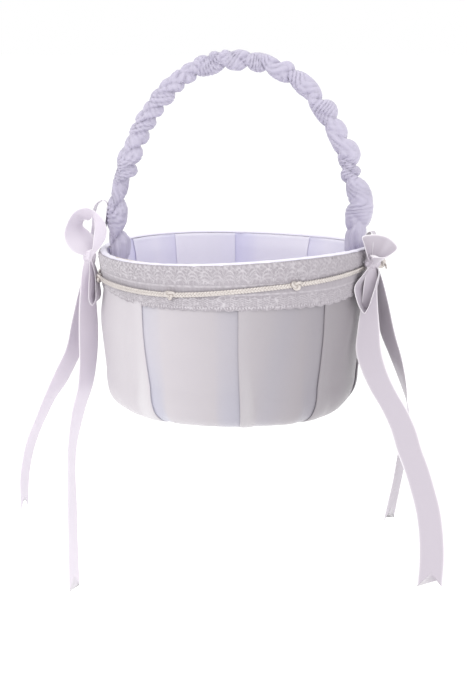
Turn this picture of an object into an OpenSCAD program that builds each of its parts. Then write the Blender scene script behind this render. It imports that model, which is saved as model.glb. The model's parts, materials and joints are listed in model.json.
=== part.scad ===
// Satin flower girl basket with a ruched handle arch and two hand-tied ribbon bows.
// +Z is up, +X is the right-hand foot of the handle, -Y is the front.
// The origin is the middle of the handle's top, where the basket is carried.

/* [Basket] */
// Height of the basket, underside to rim
rim_h = 104; // [80:1:150]
// Radius of the cover at the rim
rim_r = 86.5; // [72:0.5:120]
// Radius of the flat underside
base_r = 53; // [52:0.5:58]
// Radius of the rounded edge between the underside and the wall
corner_r = 24; // [18:0.5:26]
// Thickness of the padded satin cover
cover_t = 2; // [1.8:0.1:3]
// Thickness of the moulded bowl
core_t = 1.6; // [1.2:0.1:3]
// Thickness of the satin lining
lining_t = 0.8; // [0.5:0.1:1.5]
// Space left between two layers
layer_gap = 0.15; // [0.1:0.05:0.4]

/* [Trim] */
// Height of the folded satin lip on the rim
lip_h = 2; // [1.5:0.1:4]
// Height of the lace band
lace_h = 27; // [15:0.5:40]
// Thickness of the lace band
lace_t = 1.2; // [0.8:0.1:2]
// Depth of the metallic cord below the rim
cord_drop = 16.5; // [12:0.5:20]
// Height of the flat cord
cord_w = 2.4; // [1.5:0.1:4]
// Thickness of the flat cord
cord_t = 1.4; // [0.8:0.1:2]
// Number of places in the cord for a knot, the closing knot included
cord_knots = 7; // [4:1:12]
// Radius of a cord knot
cord_knot_r = 2.6; // [2.2:0.1:3.5]
// Radius of the knot that ties the cord's two ends
cord_end_r = 3.2; // [2.8:0.1:4]
// Angle of the first cord knot from the front
cord_knot_turn = 24.4; // [0:0.1:45]

/* [Floor and base] */
// Radius of the covered disc that closes the underside
base_disc_r = 47; // [40:0.5:49]
// Thickness of the base card
base_card_t = 1.2; // [0.8:0.1:2]
// Thickness of the satin over the base card
base_satin_t = 0.6; // [0.4:0.1:0.8]
// Radius of the padded floor disc
floor_r = 53; // [44:0.5:54]
// Thickness of the floor card
floor_card_t = 1.4; // [1:0.1:3]
// Thickness of the floor wadding
wadding_t = 4; // [2:0.5:8]
// Thickness of the satin over the floor disc
floor_satin_t = 0.8; // [0.5:0.1:1.5]

/* [Handle] */
// Clearance between the sleeve's foot and the lining
leg_fit = 0.2; // [0.1:0.1:1.5]
// Height of the hoop's widest place above the rim
spring_h = 10; // [8:0.5:30]
// Rise of the hoop above its widest place
arch_rise = 108; // [90:1:160]
// Radius of the curve across the top of the hoop
arch_top_r = 60; // [54:1:64]
// Radius of the hoop's rod
hoop_r = 2.5; // [2:0.1:3]
// Radius of the ruched sleeve round the hoop
sleeve_r = 7; // [5.5:0.1:9]
// Radius of the sleeve where it goes down inside the rim
sleeve_foot_r = 4.6; // [4:0.1:4.6]
// Depth of the rivet below the rim
rivet_drop = 42; // [36:0.5:60]
// Radius of the rivet's shank
rivet_r = 1.5; // [1:0.1:2]
// Width of the hoop's flat foot tab
tab_w = 11; // [8:0.5:12]
// Length of the hoop's flat foot tab
tab_l = 16; // [12:0.5:20]
// Thickness of the hoop's flat foot tab
tab_t = 2; // [1.5:0.1:2.5]

/* [Bows] */
// Width of the ribbon
ribbon_w = 16; // [10:0.5:20]
// Thickness of the ribbon
ribbon_t = 0.8; // [0.6:0.1:1.2]
// Radius of a bow's knot
knot_r = 5; // [4:0.1:6]
// Depth of a bow's knot below the rim
knot_drop = 5.5; // [4:0.5:10]
// Turn of the left knot from the handle's foot towards the front
left_turn = 7; // [6:0.5:14]
// Turn of the right knot from the handle's foot towards the front
right_turn = 25; // [20:0.5:34]

/* [Hidden] */

$fn = 64;
satin = [0.90, 0.88, 0.93];
lining = [0.85, 0.83, 0.94];
lace = [0.86, 0.84, 0.86];
gold = [0.88, 0.83, 0.72];
card = [0.80, 0.74, 0.64];
steel = [0.72, 0.72, 0.74];

corner_steps = 8;
strip_steps = 24;
side_steps = 20;
top_steps = 14;
tube_sides = 12;
knot_w = 5;                 // width of the ribbon where the knot gathers it
fit = 0.3;                  // clearance round what passes through a layer
rivet_head_r = 3.2;
rivet_head_t = 0.8;
rivet_fit = 0.05;           // clearance under a rivet's heads
thread_r = 0.4;
thread_knot_r = 1.2;
thread_knot_h = 0.8;
tie_out = 1;                // how far a stitch stands inside the lining
ruche_h = 0.7;              // height of the sleeve's gathers
sock_wall = 1.4;            // thickness of the gathered sleeve round a foot tab
sock_out = 0.3;             // how far the sleeve's end sits outside the tab's middle
notch_depth = 9;            // depth of the swallowtail at the end of a tail
drawn_w = 16;               // ribbon width that the tails' routes are given for

// The layers of the wall, each given as its depth inside the cover's surface
core_in = cover_t + layer_gap;
lining_in = core_in + core_t + layer_gap;
bowl_in = lining_in + lining_t;
wall_top = rim_h - lip_h - layer_gap;
lace_in = -layer_gap - lace_t;
cord_in = lace_in - layer_gap - cord_t / 2;
cord_z = rim_h - cord_drop;
floor_z = bowl_in + layer_gap;
floor_top = floor_z + floor_card_t + wadding_t + floor_satin_t + 2 * layer_gap;

// The hoop is a three-centred arch whose side curves run on below its widest place, into
// straight legs that follow the lining. arch_half is half its greatest width, from the
// quadratic equation that brings the legs to the lining.
wall_lean = atan((rim_r - base_r - corner_r) / (rim_h - corner_r));
spring_z = rim_h + spring_h;
grip_z = spring_z + arch_rise;
top_drop = arch_rise - arch_top_r;
rivet_z = rim_h - rivet_drop;
sleeve_end_r = sleeve_foot_r - layer_gap;
foot_w = tab_w + 2 * sock_wall;
lining_x = sqrt(pow(wall_r(rivet_z, bowl_in), 2) - foot_w * foot_w / 4);
tab_x = lining_x - (sleeve_foot_r + leg_fit) / cos(wall_lean);
lean_gain = 1 / cos(wall_lean) - 1;
leg_reach = tab_x + (spring_z - rivet_z) * tan(wall_lean);
arch_a = 2 + lean_gain;
arch_b = 2 * (arch_top_r + leg_reach);
arch_c = lean_gain * (top_drop * top_drop - arch_top_r * arch_top_r) + 2 * leg_reach * arch_top_r;
arch_half = (arch_b + sqrt(arch_b * arch_b - 4 * arch_a * arch_c)) / (2 * arch_a);
arch_side_r = (arch_half * arch_half + top_drop * top_drop - arch_top_r * arch_top_r)
    / (2 * (arch_half - arch_top_r));
side_c = arch_half - arch_side_r;
side_end = atan2(top_drop, -side_c);
leg_top_x = side_c + arch_side_r * cos(wall_lean);
leg_top_z = spring_z - arch_side_r * sin(wall_lean);
leg_z = rivet_z + tab_l / 2 - 1;
rivet_reach = (wall_r(rivet_z, core_in) - tab_x) * cos(wall_lean) + rivet_fit;
leg_x = leg_top_x - (leg_top_z - leg_z) * tan(wall_lean);

// Half of the hoop's middle line, from the right foot to just before the top
half_path = concat(
    [for (k = [0 : 3]) [leg_x, 0, leg_z] + k / 4 * [leg_top_x - leg_x, 0, leg_top_z - leg_z]],
    [for (k = [0 : side_steps - 1]) let (a = -wall_lean + (side_end + wall_lean) * k / side_steps)
        [side_c + arch_side_r * cos(a), 0, spring_z + arch_side_r * sin(a)]],
    [for (k = [0 : top_steps - 1]) let (a = side_end + (90 - side_end) * k / top_steps)
        [arch_top_r * cos(a), 0, spring_z + top_drop + arch_top_r * sin(a)]]
);
half_count = len(half_path);
hoop_path = concat(
    half_path, [[0, 0, grip_z]],
    [for (k = [half_count - 1 : -1 : 0]) [-half_path[k][0], 0, half_path[k][2]]]
);

knot_z = rim_h - knot_drop;
knot_ring_r = wall_r(knot_z, lace_in) + knot_r + 2 * fit;
left_knot_at = [-knot_ring_r * cos(left_turn), -knot_ring_r * sin(left_turn), knot_z];
right_knot_at = [knot_ring_r * cos(right_turn), -knot_ring_r * sin(right_turn), knot_z];

// Middle lines of the tails, from the knot down: offset from the knot, turn of the width
// away from X, and width
left_front_route = [
    [-1, 3.5, -7, 60, 5], [-2, 4.5, -16, 50, 8], [-2.5, 5, -30, 46, 14], [-2.5, 5, -50, 46, 16],
    [-2.5, 5, -70, 48, 16], [-4.5, 5, -84, 54, 16], [-8, 5, -97, 58, 16], [-10.5, 5, -110, 62, 16],
    [-12.2, 5, -122, 70, 16], [-13, 5, -136, 74, 16], [-12.7, 5, -162, 69, 16],
    [-12.4, 5, -188, 67, 16], [-12, 5, -218, 66, 16]
];
left_back_route = [
    [-2, 8, -7, 50, 5], [-3.5, 15, -22, 50, 10], [-7, 20, -42, 50, 15], [-12, 22, -62, 50, 16],
    [-18, 22, -75, 50, 16], [-24, 22, -88, 54, 16], [-28, 22, -95, 60, 16], [-34.5, 22, -108, 66, 16],
    [-39.5, 22, -121, 68, 16], [-42.5, 22, -134, 69, 16], [-44, 22, -146, 70, 16],
    [-44.3, 22, -158, 72, 16], [-44, 22, -167, 74, 16]
];
right_front_route = [
    [-1, 3, -7, 20, 5], [-1.5, 2, -22, 10, 9], [-2, 0, -42, 4, 15], [-2, -3, -54, 2, 16],
    [1.5, -4, -67, 0, 16], [7, -4, -79, 0, 16], [15, -4, -92, 0, 16], [20, -4, -104, 0, 16],
    [24, -4, -117, 0, 16], [28.5, -4, -129, 0, 16], [32.5, -4, -142, 0, 16], [36, -4, -155, 0, 16],
    [38.5, -4, -174, 0, 16], [38.5, -4, -186, 0, 16], [37.8, -4, -205, 0, 16]
];
right_back_route = [
    [3, 8, -6, -50, 5], [5.5, 11, -16, -55, 10], [8, 13.5, -28, -58, 14], [11.5, 14, -48, -58, 16],
    [16, 14, -61, -64, 16], [19, 14, -71, -72, 16], [22.5, 14, -85, -86, 16], [24, 14, -94, -100, 16],
    [23.5, 14, -104, -112, 16], [21.5, 14, -120, -116, 16], [18.6, 14, -139, -116, 16],
    [16, 14, -152, -118, 16], [13.2, 14, -166, -120, 16]
];

// Radius of the wall at height z, at a depth inside the cover's surface
function wall_r(z, inset) = base_r + corner_r - inset
    + (rim_r - base_r - corner_r) * (z - corner_r) / (rim_h - corner_r);

// Half outline of the bowl at a depth inside the cover's surface, closed at height top
function bowl_outline(inset, top) = concat(
    [[0, inset]],
    [for (i = [0 : corner_steps]) let (a = -90 + 90 * i / corner_steps)
        [base_r + (corner_r - inset) * cos(a), corner_r + (corner_r - inset) * sin(a)]],
    [[wall_r(top, inset), top], [0, top]]
);

function unit(v) = v / norm(v);
function tangent(p, i) = unit(p[min(i + 1, len(p) - 1)] - p[max(i - 1, 0)]);

// Four corners of a strip of ribbon at point i
function strip_corners(p, side, width, i) = let (n = unit(cross(tangent(p, i), side[i])))
    [for (k = [[-1, -1], [1, -1], [1, 1], [-1, 1]])
        p[i] + side[i] * width[i] / 2 * k[0] + n * ribbon_t / 2 * k[1]];

// Places everything with the top of the handle at the origin
module placed() {
    translate([0, 0, -grip_z]) children();
}

// Solid bowl at a depth inside the cover's surface
module bowl(inset, top) {
    rotate_extrude() polygon(bowl_outline(inset, top));
}

// Ribbon along points p with its width along the directions in side
module strip(p, side, width) {
    last = len(p) - 1;
    corners = [for (i = [0 : last]) each strip_corners(p, side, width, i)];
    walls = [for (i = [0 : last - 1], k = [0 : 3]) let (a = 4 * i + k, b = 4 * i + (k + 1) % 4)
        each [[a, a + 4, b], [b, a + 4, b + 4]]];
    ends = [[0, 1, 2], [0, 2, 3], [4 * last, 4 * last + 2, 4 * last + 1], [4 * last, 4 * last + 3, 4 * last + 2]];
    polyhedron(corners, concat(walls, ends));
}

// Loop of ribbon that leaves a knot, opens to width w at length l and comes back
module ribbon_loop(l, w) {
    start = (knot_r + layer_gap) / (PI * norm([l, w]));
    s = [for (i = [0 : strip_steps]) start + (1 - 2 * start) * i / strip_steps];
    strip(
        [for (t = s) [w / 2 * sin(360 * t), 0, l * sin(180 * t)]],
        [for (t = s) [0, 1, 0]],
        [for (t = s) knot_w + (ribbon_w - knot_w) * min(1, 1.5 * sin(180 * t))]
    );
}

// Loop at a knot: pitch leans it forward, tilt leans it sideways, turn spins it on its length
module bow_loop(at, l, w, pitch, tilt, turn) {
    placed() translate(at) rotate([pitch, tilt, 0]) rotate([0, 0, turn]) ribbon_loop(l, w);
}

// Tail that hangs from a knot, its end cut to a swallowtail
module bow_tail(at, route) {
    p = [for (q = route) [q[0], q[1], q[2]]];
    side = [for (q = route) [cos(q[3]), sin(q[3]), 0]];
    end = route[len(route) - 1];
    scale_w = ribbon_w / drawn_w;
    placed() translate(at) difference() {
        strip(p, side, [for (q = route) q[4] * scale_w]);
        translate([end[0], end[1], end[2]]) rotate([0, 0, end[3]]) rotate([90, 0, 0])
            linear_extrude(ribbon_w, center = true)
                polygon([[-ribbon_w / 4, -1], [ribbon_w / 4, -1], [0, notch_depth]]);
    }
}

// Ring of oval section round the basket
module oval_ring(r, z, half_t, half_h) {
    rotate_extrude() polygon([for (a = [0 : 15 : 345]) [r + half_t * cos(a), z + half_h * sin(a)]]);
}

// Tube along the hoop from foot to foot, its radius at each point given by radii
module arch_tube(radii) {
    last = len(hoop_path) - 1;
    points = [for (i = [0 : last]) let (t = tangent(hoop_path, i), n = [t[2], 0, -t[0]])
        each [for (k = [0 : tube_sides - 1]) let (a = 360 * k / tube_sides)
            hoop_path[i] + radii[i] * (cos(a) * n + [0, sin(a), 0])]];
    walls = [for (i = [0 : last - 1], k = [0 : tube_sides - 1])
        let (a = tube_sides * i + k, b = tube_sides * i + (k + 1) % tube_sides)
        each [[a, a + tube_sides, b], [b, a + tube_sides, b + tube_sides]]];
    ends = [[for (k = [0 : tube_sides - 1]) k], [for (k = [tube_sides - 1 : -1 : 0]) tube_sides * last + k]];
    polyhedron(points, concat(walls, ends));
}

// Puts its children at the lower end of each leg, +Z up along the leg
module at_feet() {
    for (m = [0, 1]) mirror([m, 0, 0]) translate([tab_x, 0, rivet_z]) rotate([0, wall_lean, 0]) children();
}

// Rods at both rivets, square to the wall, from start outwards; start counts from the tab
module rivet_rods(r, start, h) {
    at_feet() translate([start, 0, 0]) rotate([0, 90, 0]) cylinder(r = r, h = h);
}

module rivet_holes(r) {
    rivet_rods(r, -rim_r / 2, rim_r);
}

// Rod through the wall from inside the bowl to a knot
module tie_rod(turn, r, reach) {
    rotate([0, 0, turn]) translate([wall_r(knot_z, bowl_in) - tie_out, 0, knot_z]) rotate([0, 90, 0])
        cylinder(r = r, h = reach);
}

module tie_holes() {
    tie_rod(180 + left_turn, thread_r + fit, 2 * knot_r);
    tie_rod(-right_turn, thread_r + fit, 2 * knot_r);
}

module core_shell() {
    color(card) placed() difference() {
        bowl(core_in, wall_top);
        bowl(core_in + core_t, wall_top + 1);
        rivet_holes(rivet_r + fit);
        tie_holes();
    }
}

module outer_satin() {
    color(satin) placed() difference() {
        bowl(0, wall_top);
        bowl(cover_t, wall_top + 1);
        translate([0, 0, -1]) cylinder(r = base_disc_r + layer_gap, h = cover_t + 2);
        rivet_pockets();
        tie_holes();
    }
}

// Room for the rivets' outer heads in the back of the cover
module rivet_pockets() {
    rivet_rods(rivet_head_r + fit, rivet_reach - 1 - fit, 1 + fit + rivet_head_t + fit);
}

module base_card() {
    color(card) placed() translate([0, 0, base_satin_t + layer_gap])
        cylinder(r = base_disc_r - base_satin_t - layer_gap, h = base_card_t);
}

module base_satin() {
    color(satin) placed() difference() {
        cylinder(r = base_disc_r, h = base_satin_t + layer_gap + base_card_t);
        translate([0, 0, base_satin_t]) cylinder(r = base_disc_r - base_satin_t, h = cover_t + base_card_t);
    }
}

module lining_satin() {
    color(lining) placed() difference() {
        bowl(lining_in, wall_top);
        bowl(bowl_in, wall_top + 1);
        cylinder(r = base_disc_r - 10, h = bowl_in + 1);
        rivet_holes(rivet_r + fit);
        tie_holes();
    }
}

module floor_card() {
    color(card) placed() translate([0, 0, floor_z])
        cylinder(r = floor_r - floor_satin_t - layer_gap, h = floor_card_t);
}

module floor_wadding() {
    color("white") placed() translate([0, 0, floor_z + floor_card_t + layer_gap])
        cylinder(r = floor_r - floor_satin_t - layer_gap, h = wadding_t);
}

module floor_satin() {
    color(lining) placed() difference() {
        translate([0, 0, floor_z]) cylinder(r = floor_r, h = floor_top - floor_z);
        cylinder(r = floor_r - floor_satin_t, h = floor_top - floor_satin_t);
    }
}

module rim_binding() {
    lip_r = wall_r(rim_h, bowl_in / 2);
    lip_half = bowl_in / 2;
    color(satin) placed() rotate_extrude()
        polygon([for (a = [0 : 10 : 180]) [lip_r + lip_half * cos(a), rim_h - lip_h + lip_h * sin(a)]]);
}

module lace_band() {
    bottom = wall_top - lace_h;
    color(lace) placed() difference() {
        rotate_extrude() polygon([
            [wall_r(bottom, -layer_gap), bottom], [wall_r(bottom, lace_in), bottom],
            [wall_r(wall_top, lace_in), wall_top], [wall_r(wall_top, -layer_gap), wall_top]
        ]);
        tie_holes();
    }
}

module trim_cord() {
    color(gold) placed() oval_ring(wall_r(cord_z, cord_in), cord_z, cord_t / 2, cord_w / 2);
}

// A knot of the cord, with the cord's own passage through it
module cord_knot(turn, r) {
    difference() {
        rotate([0, 0, turn]) translate([wall_r(cord_z, lace_in) + layer_gap + r, 0, cord_z]) sphere(r);
        oval_ring(wall_r(cord_z, cord_in), cord_z, cord_t / 2 + 0.1, cord_w / 2 + 0.1);
    }
}

module trim_knots() {
    color(gold) placed() for (k = [0 : cord_knots - 1]) if (k != 1)
        cord_knot(-90 + cord_knot_turn + 360 * k / cord_knots, cord_knot_r);
}

module cord_end_knot() {
    color(gold) placed() cord_knot(-90 + cord_knot_turn + 360 / cord_knots, cord_end_r);
}

module handle_hoop() {
    color(steel) placed() difference() {
        union() {
            arch_tube([for (q = hoop_path) hoop_r]);
            at_feet() cube([tab_t, tab_w, tab_l], center = true);
        }
        rivet_holes(rivet_r + fit);
    }
}

// Outer radius of the sleeve at point i: slim inside the rim, then gathered in lobes
function sleeve_at(i) = let (z = hoop_path[i][2], rise = min(1, max(0, (z - rim_h) / spring_h)))
    sleeve_end_r + (sleeve_r - sleeve_end_r) * rise + ruche_h * rise * cos(180 * i);

module handle_sleeve() {
    sock = [2 * (sleeve_foot_r - sock_out), foot_w, tab_l + 2 * sock_wall];
    color(lining) placed() difference() {
        union() {
            arch_tube([for (i = [0 : len(hoop_path) - 1]) sleeve_at(i)]);
            at_feet() translate([sock_out, 0, 0]) cube(sock, center = true);
        }
        arch_tube([for (q = hoop_path) hoop_r + layer_gap]);
        at_feet() cube([2 * (hoop_r + fit), tab_w + fit, tab_l + fit], center = true);
        rivet_holes(rivet_r + fit);
    }
}

module handle_rivets() {
    inner = -tab_t / 2 - rivet_fit;
    color(steel) placed() {
        rivet_rods(rivet_head_r, inner - rivet_head_t, rivet_head_t);
        rivet_rods(rivet_r, inner, rivet_reach - inner);
        rivet_rods(rivet_head_r, rivet_reach, rivet_head_t);
    }
}

module left_upper_loop() { color(satin) bow_loop(left_knot_at, 30, 22, 36, -12, -40); }
module left_back_loop() { color(satin) bow_loop(left_knot_at, 35, 11, -25, 4, 0); }
module left_lower_loop() { color(satin) bow_loop(left_knot_at, 32, 10, 148, 15, 30); }
module right_upper_loop() { color(satin) bow_loop(right_knot_at, 24, 12, 14, 68, 50); }
module right_back_loop() { color(satin) bow_loop(right_knot_at, 22, 8, -24, 4, 0); }
module right_lower_loop() { color(satin) bow_loop(right_knot_at, 32, 16, 148, 4, 15); }

module left_knot() { color(satin) placed() translate(left_knot_at) sphere(knot_r); }
module right_knot() { color(satin) placed() translate(right_knot_at) sphere(knot_r); }

// Stitch from a knot through the wall, with the thread's end knotted inside
module tie(turn) {
    start = wall_r(knot_z, bowl_in) - tie_out;
    color("white") placed() {
        tie_rod(turn, thread_r, knot_ring_r - knot_r - start);
        rotate([0, 0, turn]) translate([start - thread_knot_h, 0, knot_z]) rotate([0, 90, 0])
            cylinder(r = thread_knot_r, h = thread_knot_h);
    }
}

module left_tie() { tie(180 + left_turn); }
module right_tie() { tie(-right_turn); }

module left_front_tail() { color(satin) bow_tail(left_knot_at, left_front_route); }
module left_back_tail() { color(satin) bow_tail(left_knot_at, left_back_route); }
module right_front_tail() { color(satin) bow_tail(right_knot_at, right_front_route); }
module right_back_tail() { color(satin) bow_tail(right_knot_at, right_back_route); }

core_shell();
outer_satin();
base_card();
base_satin();
lining_satin();
floor_card();
floor_wadding();
floor_satin();
rim_binding();
lace_band();
trim_cord();
trim_knots();
cord_end_knot();
handle_hoop();
handle_sleeve();
handle_rivets();
left_upper_loop();
left_back_loop();
left_lower_loop();
left_knot();
left_tie();
left_front_tail();
left_back_tail();
right_upper_loop();
right_back_loop();
right_lower_loop();
right_knot();
right_tie();
right_front_tail();
right_back_tail();
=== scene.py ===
# A satin flower girl basket: pleated cover, lace rim, ruched handle and two ribbon bows.
import json
import math
import bmesh
import bpy
import numpy as np
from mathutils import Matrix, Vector


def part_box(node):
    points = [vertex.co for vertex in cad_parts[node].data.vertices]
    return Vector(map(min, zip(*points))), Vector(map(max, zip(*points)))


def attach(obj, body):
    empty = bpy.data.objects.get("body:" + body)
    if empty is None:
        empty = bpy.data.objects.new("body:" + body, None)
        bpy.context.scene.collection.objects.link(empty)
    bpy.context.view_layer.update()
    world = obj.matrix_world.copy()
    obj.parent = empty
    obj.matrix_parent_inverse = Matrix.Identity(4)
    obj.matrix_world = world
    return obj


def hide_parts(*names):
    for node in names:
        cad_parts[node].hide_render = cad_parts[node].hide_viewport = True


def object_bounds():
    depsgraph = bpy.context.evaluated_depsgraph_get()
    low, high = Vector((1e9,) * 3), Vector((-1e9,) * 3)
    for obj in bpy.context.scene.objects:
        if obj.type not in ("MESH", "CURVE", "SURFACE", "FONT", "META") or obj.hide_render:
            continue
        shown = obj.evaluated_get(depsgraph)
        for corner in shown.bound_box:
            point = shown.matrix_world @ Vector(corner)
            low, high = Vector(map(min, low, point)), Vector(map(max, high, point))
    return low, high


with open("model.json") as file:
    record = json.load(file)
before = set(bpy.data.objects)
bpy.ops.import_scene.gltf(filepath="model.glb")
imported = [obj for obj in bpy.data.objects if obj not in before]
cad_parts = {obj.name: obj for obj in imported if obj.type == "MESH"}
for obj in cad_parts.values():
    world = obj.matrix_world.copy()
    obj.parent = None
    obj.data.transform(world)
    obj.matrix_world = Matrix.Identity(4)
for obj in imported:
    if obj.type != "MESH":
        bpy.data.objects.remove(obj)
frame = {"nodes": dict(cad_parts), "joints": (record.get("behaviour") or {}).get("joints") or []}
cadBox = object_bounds()
nodes = frame["nodes"]
mm = 0.001
turn = 2 * math.pi

# places that every piece is built from, in metres
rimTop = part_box("rim_binding")[1].z
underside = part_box("base_satin")[0].z
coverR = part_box("outer_satin")[1].x
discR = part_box("base_satin")[1].x
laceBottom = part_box("lace_band")[0].z
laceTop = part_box("lace_band")[1].z
wallTop = laceTop
joints = {j["name"]: Vector(j["pos_m"]) for j in frame["joints"]}
knotAt = {"left": joints["left_front_swing"], "right": joints["right_front_swing"]}

bowlShape = {
    "cornerR": 24 * mm,      # rounded edge between wall and underside
    "flatR": 53 * mm,        # where the flat underside ends
}
rimWarp = {"side": 1.3 * mm, "twist": 1.6 * mm, "lift": 0.6 * mm}   # hand-made unevenness of the rim


# mesh helpers

def angleOf(degrees):
    # x, y of a direction, counted from the front (-Y) towards +X
    a = np.radians(degrees)
    return np.sin(a), -np.cos(a)


def warp(degrees, z):
    # the rim's unevenness, fading out down the wall
    a = np.radians(degrees)
    rise = rimWarp["side"] * np.sin(a) + rimWarp["twist"] * np.sin(2 * a) + rimWarp["lift"]
    fade = np.clip((z - laceBottom + 20 * mm) / (rimTop - laceBottom + 20 * mm), 0, 1)
    return rise * fade ** 2


def wallRadius(z):
    # outer radius of the basket's wall at height z
    low = underside + bowlShape["cornerR"]
    lowR = bowlShape["flatR"] + bowlShape["cornerR"]
    return lowR + (coverR - lowR) * (z - low) / (wallTop - low)


def bowlProfile(wallRows, cornerRows, inset, top, end):
    # radius and height down the wall, round the corner and in under the base to radius end
    low = underside + bowlShape["cornerR"]
    z = np.linspace(top, low, wallRows)
    wall = np.stack([wallRadius(z) - inset, z], 1)
    a = np.radians(np.linspace(0, -90, cornerRows + 1)[1:])
    corner = np.stack([
        bowlShape["flatR"] + (bowlShape["cornerR"] - inset) * np.cos(a),
        low + (bowlShape["cornerR"] - inset) * np.sin(a),
    ], 1)
    under = np.array([[(bowlShape["flatR"] + end) / 2, underside + inset], [end, underside + inset]])
    return np.concatenate([wall, corner, under])


def lengthAlong(path):
    # how far along a path each of its points is
    return np.concatenate([[0], np.cumsum(np.linalg.norm(np.diff(path, axis=0), axis=1))])


def aroundAxis(r, degrees, z):
    x, y = angleOf(degrees)
    return np.stack([r * x, r * y, z], -1)


def nearAngle(degrees, place, spread):
    # 1 at the direction place, fading to both sides over spread degrees
    return np.exp(-(((degrees - place + 180) % 360 - 180) / spread) ** 2)


def wrapCloth(across, along):
    # places on a cloth that goes all round, with its first column again where it meets itself
    flat = np.stack(np.broadcast_arrays(across, along), -1)
    return np.concatenate([flat, flat[:, :1] + [turn * coverR, 0]], 1)


def gridMesh(name, points, flat, cap=False, body="root"):
    # a mesh over rows of points, each row closed; flat is each point's place on the cloth, in metres
    rows, cols = points.shape[:2]
    i, j = np.meshgrid(np.arange(rows - 1), np.arange(cols), indexing="ij")
    right = (j + 1) % cols
    below = (i + 1) * cols
    faces = np.stack([i * cols + j, i * cols + right, below + right, below + j], -1)
    faceList = faces.reshape(-1, 4).tolist()
    if cap:
        faceList.append(list(range(cols))[::-1])
        faceList.append([(rows - 1) * cols + k for k in range(cols)])
    mesh = bpy.data.meshes.new(name)
    mesh.from_pydata(points.reshape(-1, 3).tolist(), [], faceList)
    if flat.shape[1] == cols:
        flat = np.concatenate([flat, flat[:, :1]], 1)
    corners = [flat[i, j], flat[i, j + 1], flat[i + 1, j + 1], flat[i + 1, j]]
    corners = np.stack(corners, 2).reshape(-1, 2)
    layer = mesh.uv_layers.new(name="cloth")
    spare = np.zeros((len(mesh.loops) - len(corners), 2))
    layer.data.foreach_set("uv", np.concatenate([corners, spare]).astype(np.float32).ravel())
    mesh.validate()
    mesh.polygons.foreach_set("use_smooth", [True] * len(mesh.polygons))
    piece = bpy.data.objects.new(name, mesh)
    bpy.context.scene.collection.objects.link(piece)
    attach(piece, body)
    return piece


def joined(name, pieces, body="root"):
    # one object from several
    bpy.ops.object.select_all(action="DESELECT")
    for piece in pieces:
        piece.select_set(True)
    bpy.context.view_layer.objects.active = pieces[0]
    bpy.ops.object.join()
    pieces[0].name = name
    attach(pieces[0], body)
    return pieces[0]


def outward(piece):
    # turns all faces to point out of a closed piece
    work = bmesh.new()
    work.from_mesh(piece.data)
    bmesh.ops.recalc_face_normals(work, faces=work.faces)
    work.to_mesh(piece.data)
    work.free()
    return piece


def thicken(piece, thickness):
    solid = piece.modifiers.new("cloth thickness", "SOLIDIFY")
    solid.thickness = thickness
    solid.offset = 0


def paint(piece, name, values):
    # a number at each point, for the materials to use
    piece.data.attributes.new(name, "FLOAT", "POINT").data.foreach_set("value", values.ravel())


def dress(piece, material, slot, *replaced):
    # the piece's material and the CAD nodes that it stands for, which are hidden; slot is not used
    piece.data.materials.clear()
    piece.data.materials.append(material)
    if replaced:
        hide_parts(*replaced)


def spline(rows, t):
    # smooth curve through rows; t runs from 0 to 1 along its length
    p = np.array(rows, float)
    knots = lengthAlong(p[:, :3])
    at = np.clip(np.asarray(t), 0, 1) * knots[-1]
    slope = np.gradient(p, knots, axis=0)
    i = np.clip(np.searchsorted(knots, at, side="right") - 1, 0, len(p) - 2)
    h = (knots[i + 1] - knots[i])[..., None]
    f = (at - knots[i])[..., None] / h
    start = (2 * f ** 3 - 3 * f ** 2 + 1) * p[i] + (f ** 3 - 2 * f ** 2 + f) * h * slope[i]
    return start + (3 * f ** 2 - 2 * f ** 3) * p[i + 1] + (f ** 3 - f ** 2) * h * slope[i + 1]


def unit(v):
    return v / np.maximum(np.linalg.norm(v, axis=-1, keepdims=True), 1e-12)


def ease(t):
    t = np.clip(t, 0, 1)
    return t * t * (3 - 2 * t)


def ripple(x, y, seed, size=1.0):
    # soft uneven noise between -1 and 1, from a few crossed waves
    rng = np.random.default_rng(seed)
    total = 0
    for k in range(6):
        a = rng.uniform(0, turn)
        pitch = size * rng.uniform(0.6, 1.8)
        total = total + np.sin(turn * (x * np.cos(a) + y * np.sin(a)) / pitch + rng.uniform(0, turn))
    return total / 3


# shader helpers

class Signal:
    # a socket that can be used in sums
    def __init__(self, finish, socket):
        self.finish = finish
        self.socket = socket

    def maths(self, operation, other=None):
        values = {0: self} if other is None else {0: self, 1: other}
        return self.finish.node("ShaderNodeMath", {"operation": operation}, values)

    def __add__(self, other):
        return self.maths("ADD", other)

    def __sub__(self, other):
        return self.maths("SUBTRACT", other)

    def __mul__(self, other):
        return self.maths("MULTIPLY", other)

    def __rsub__(self, other):
        return self * -1 + other

    __radd__ = __add__
    __rmul__ = __mul__

    def wave(self, pitch):
        # 0 to 1 and back over each pitch
        return (self * (turn / pitch)).maths("SINE") * 0.5 + 0.5

    def limit(self):
        return self.finish.node("ShaderNodeClamp", {}, {0: self})


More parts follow.
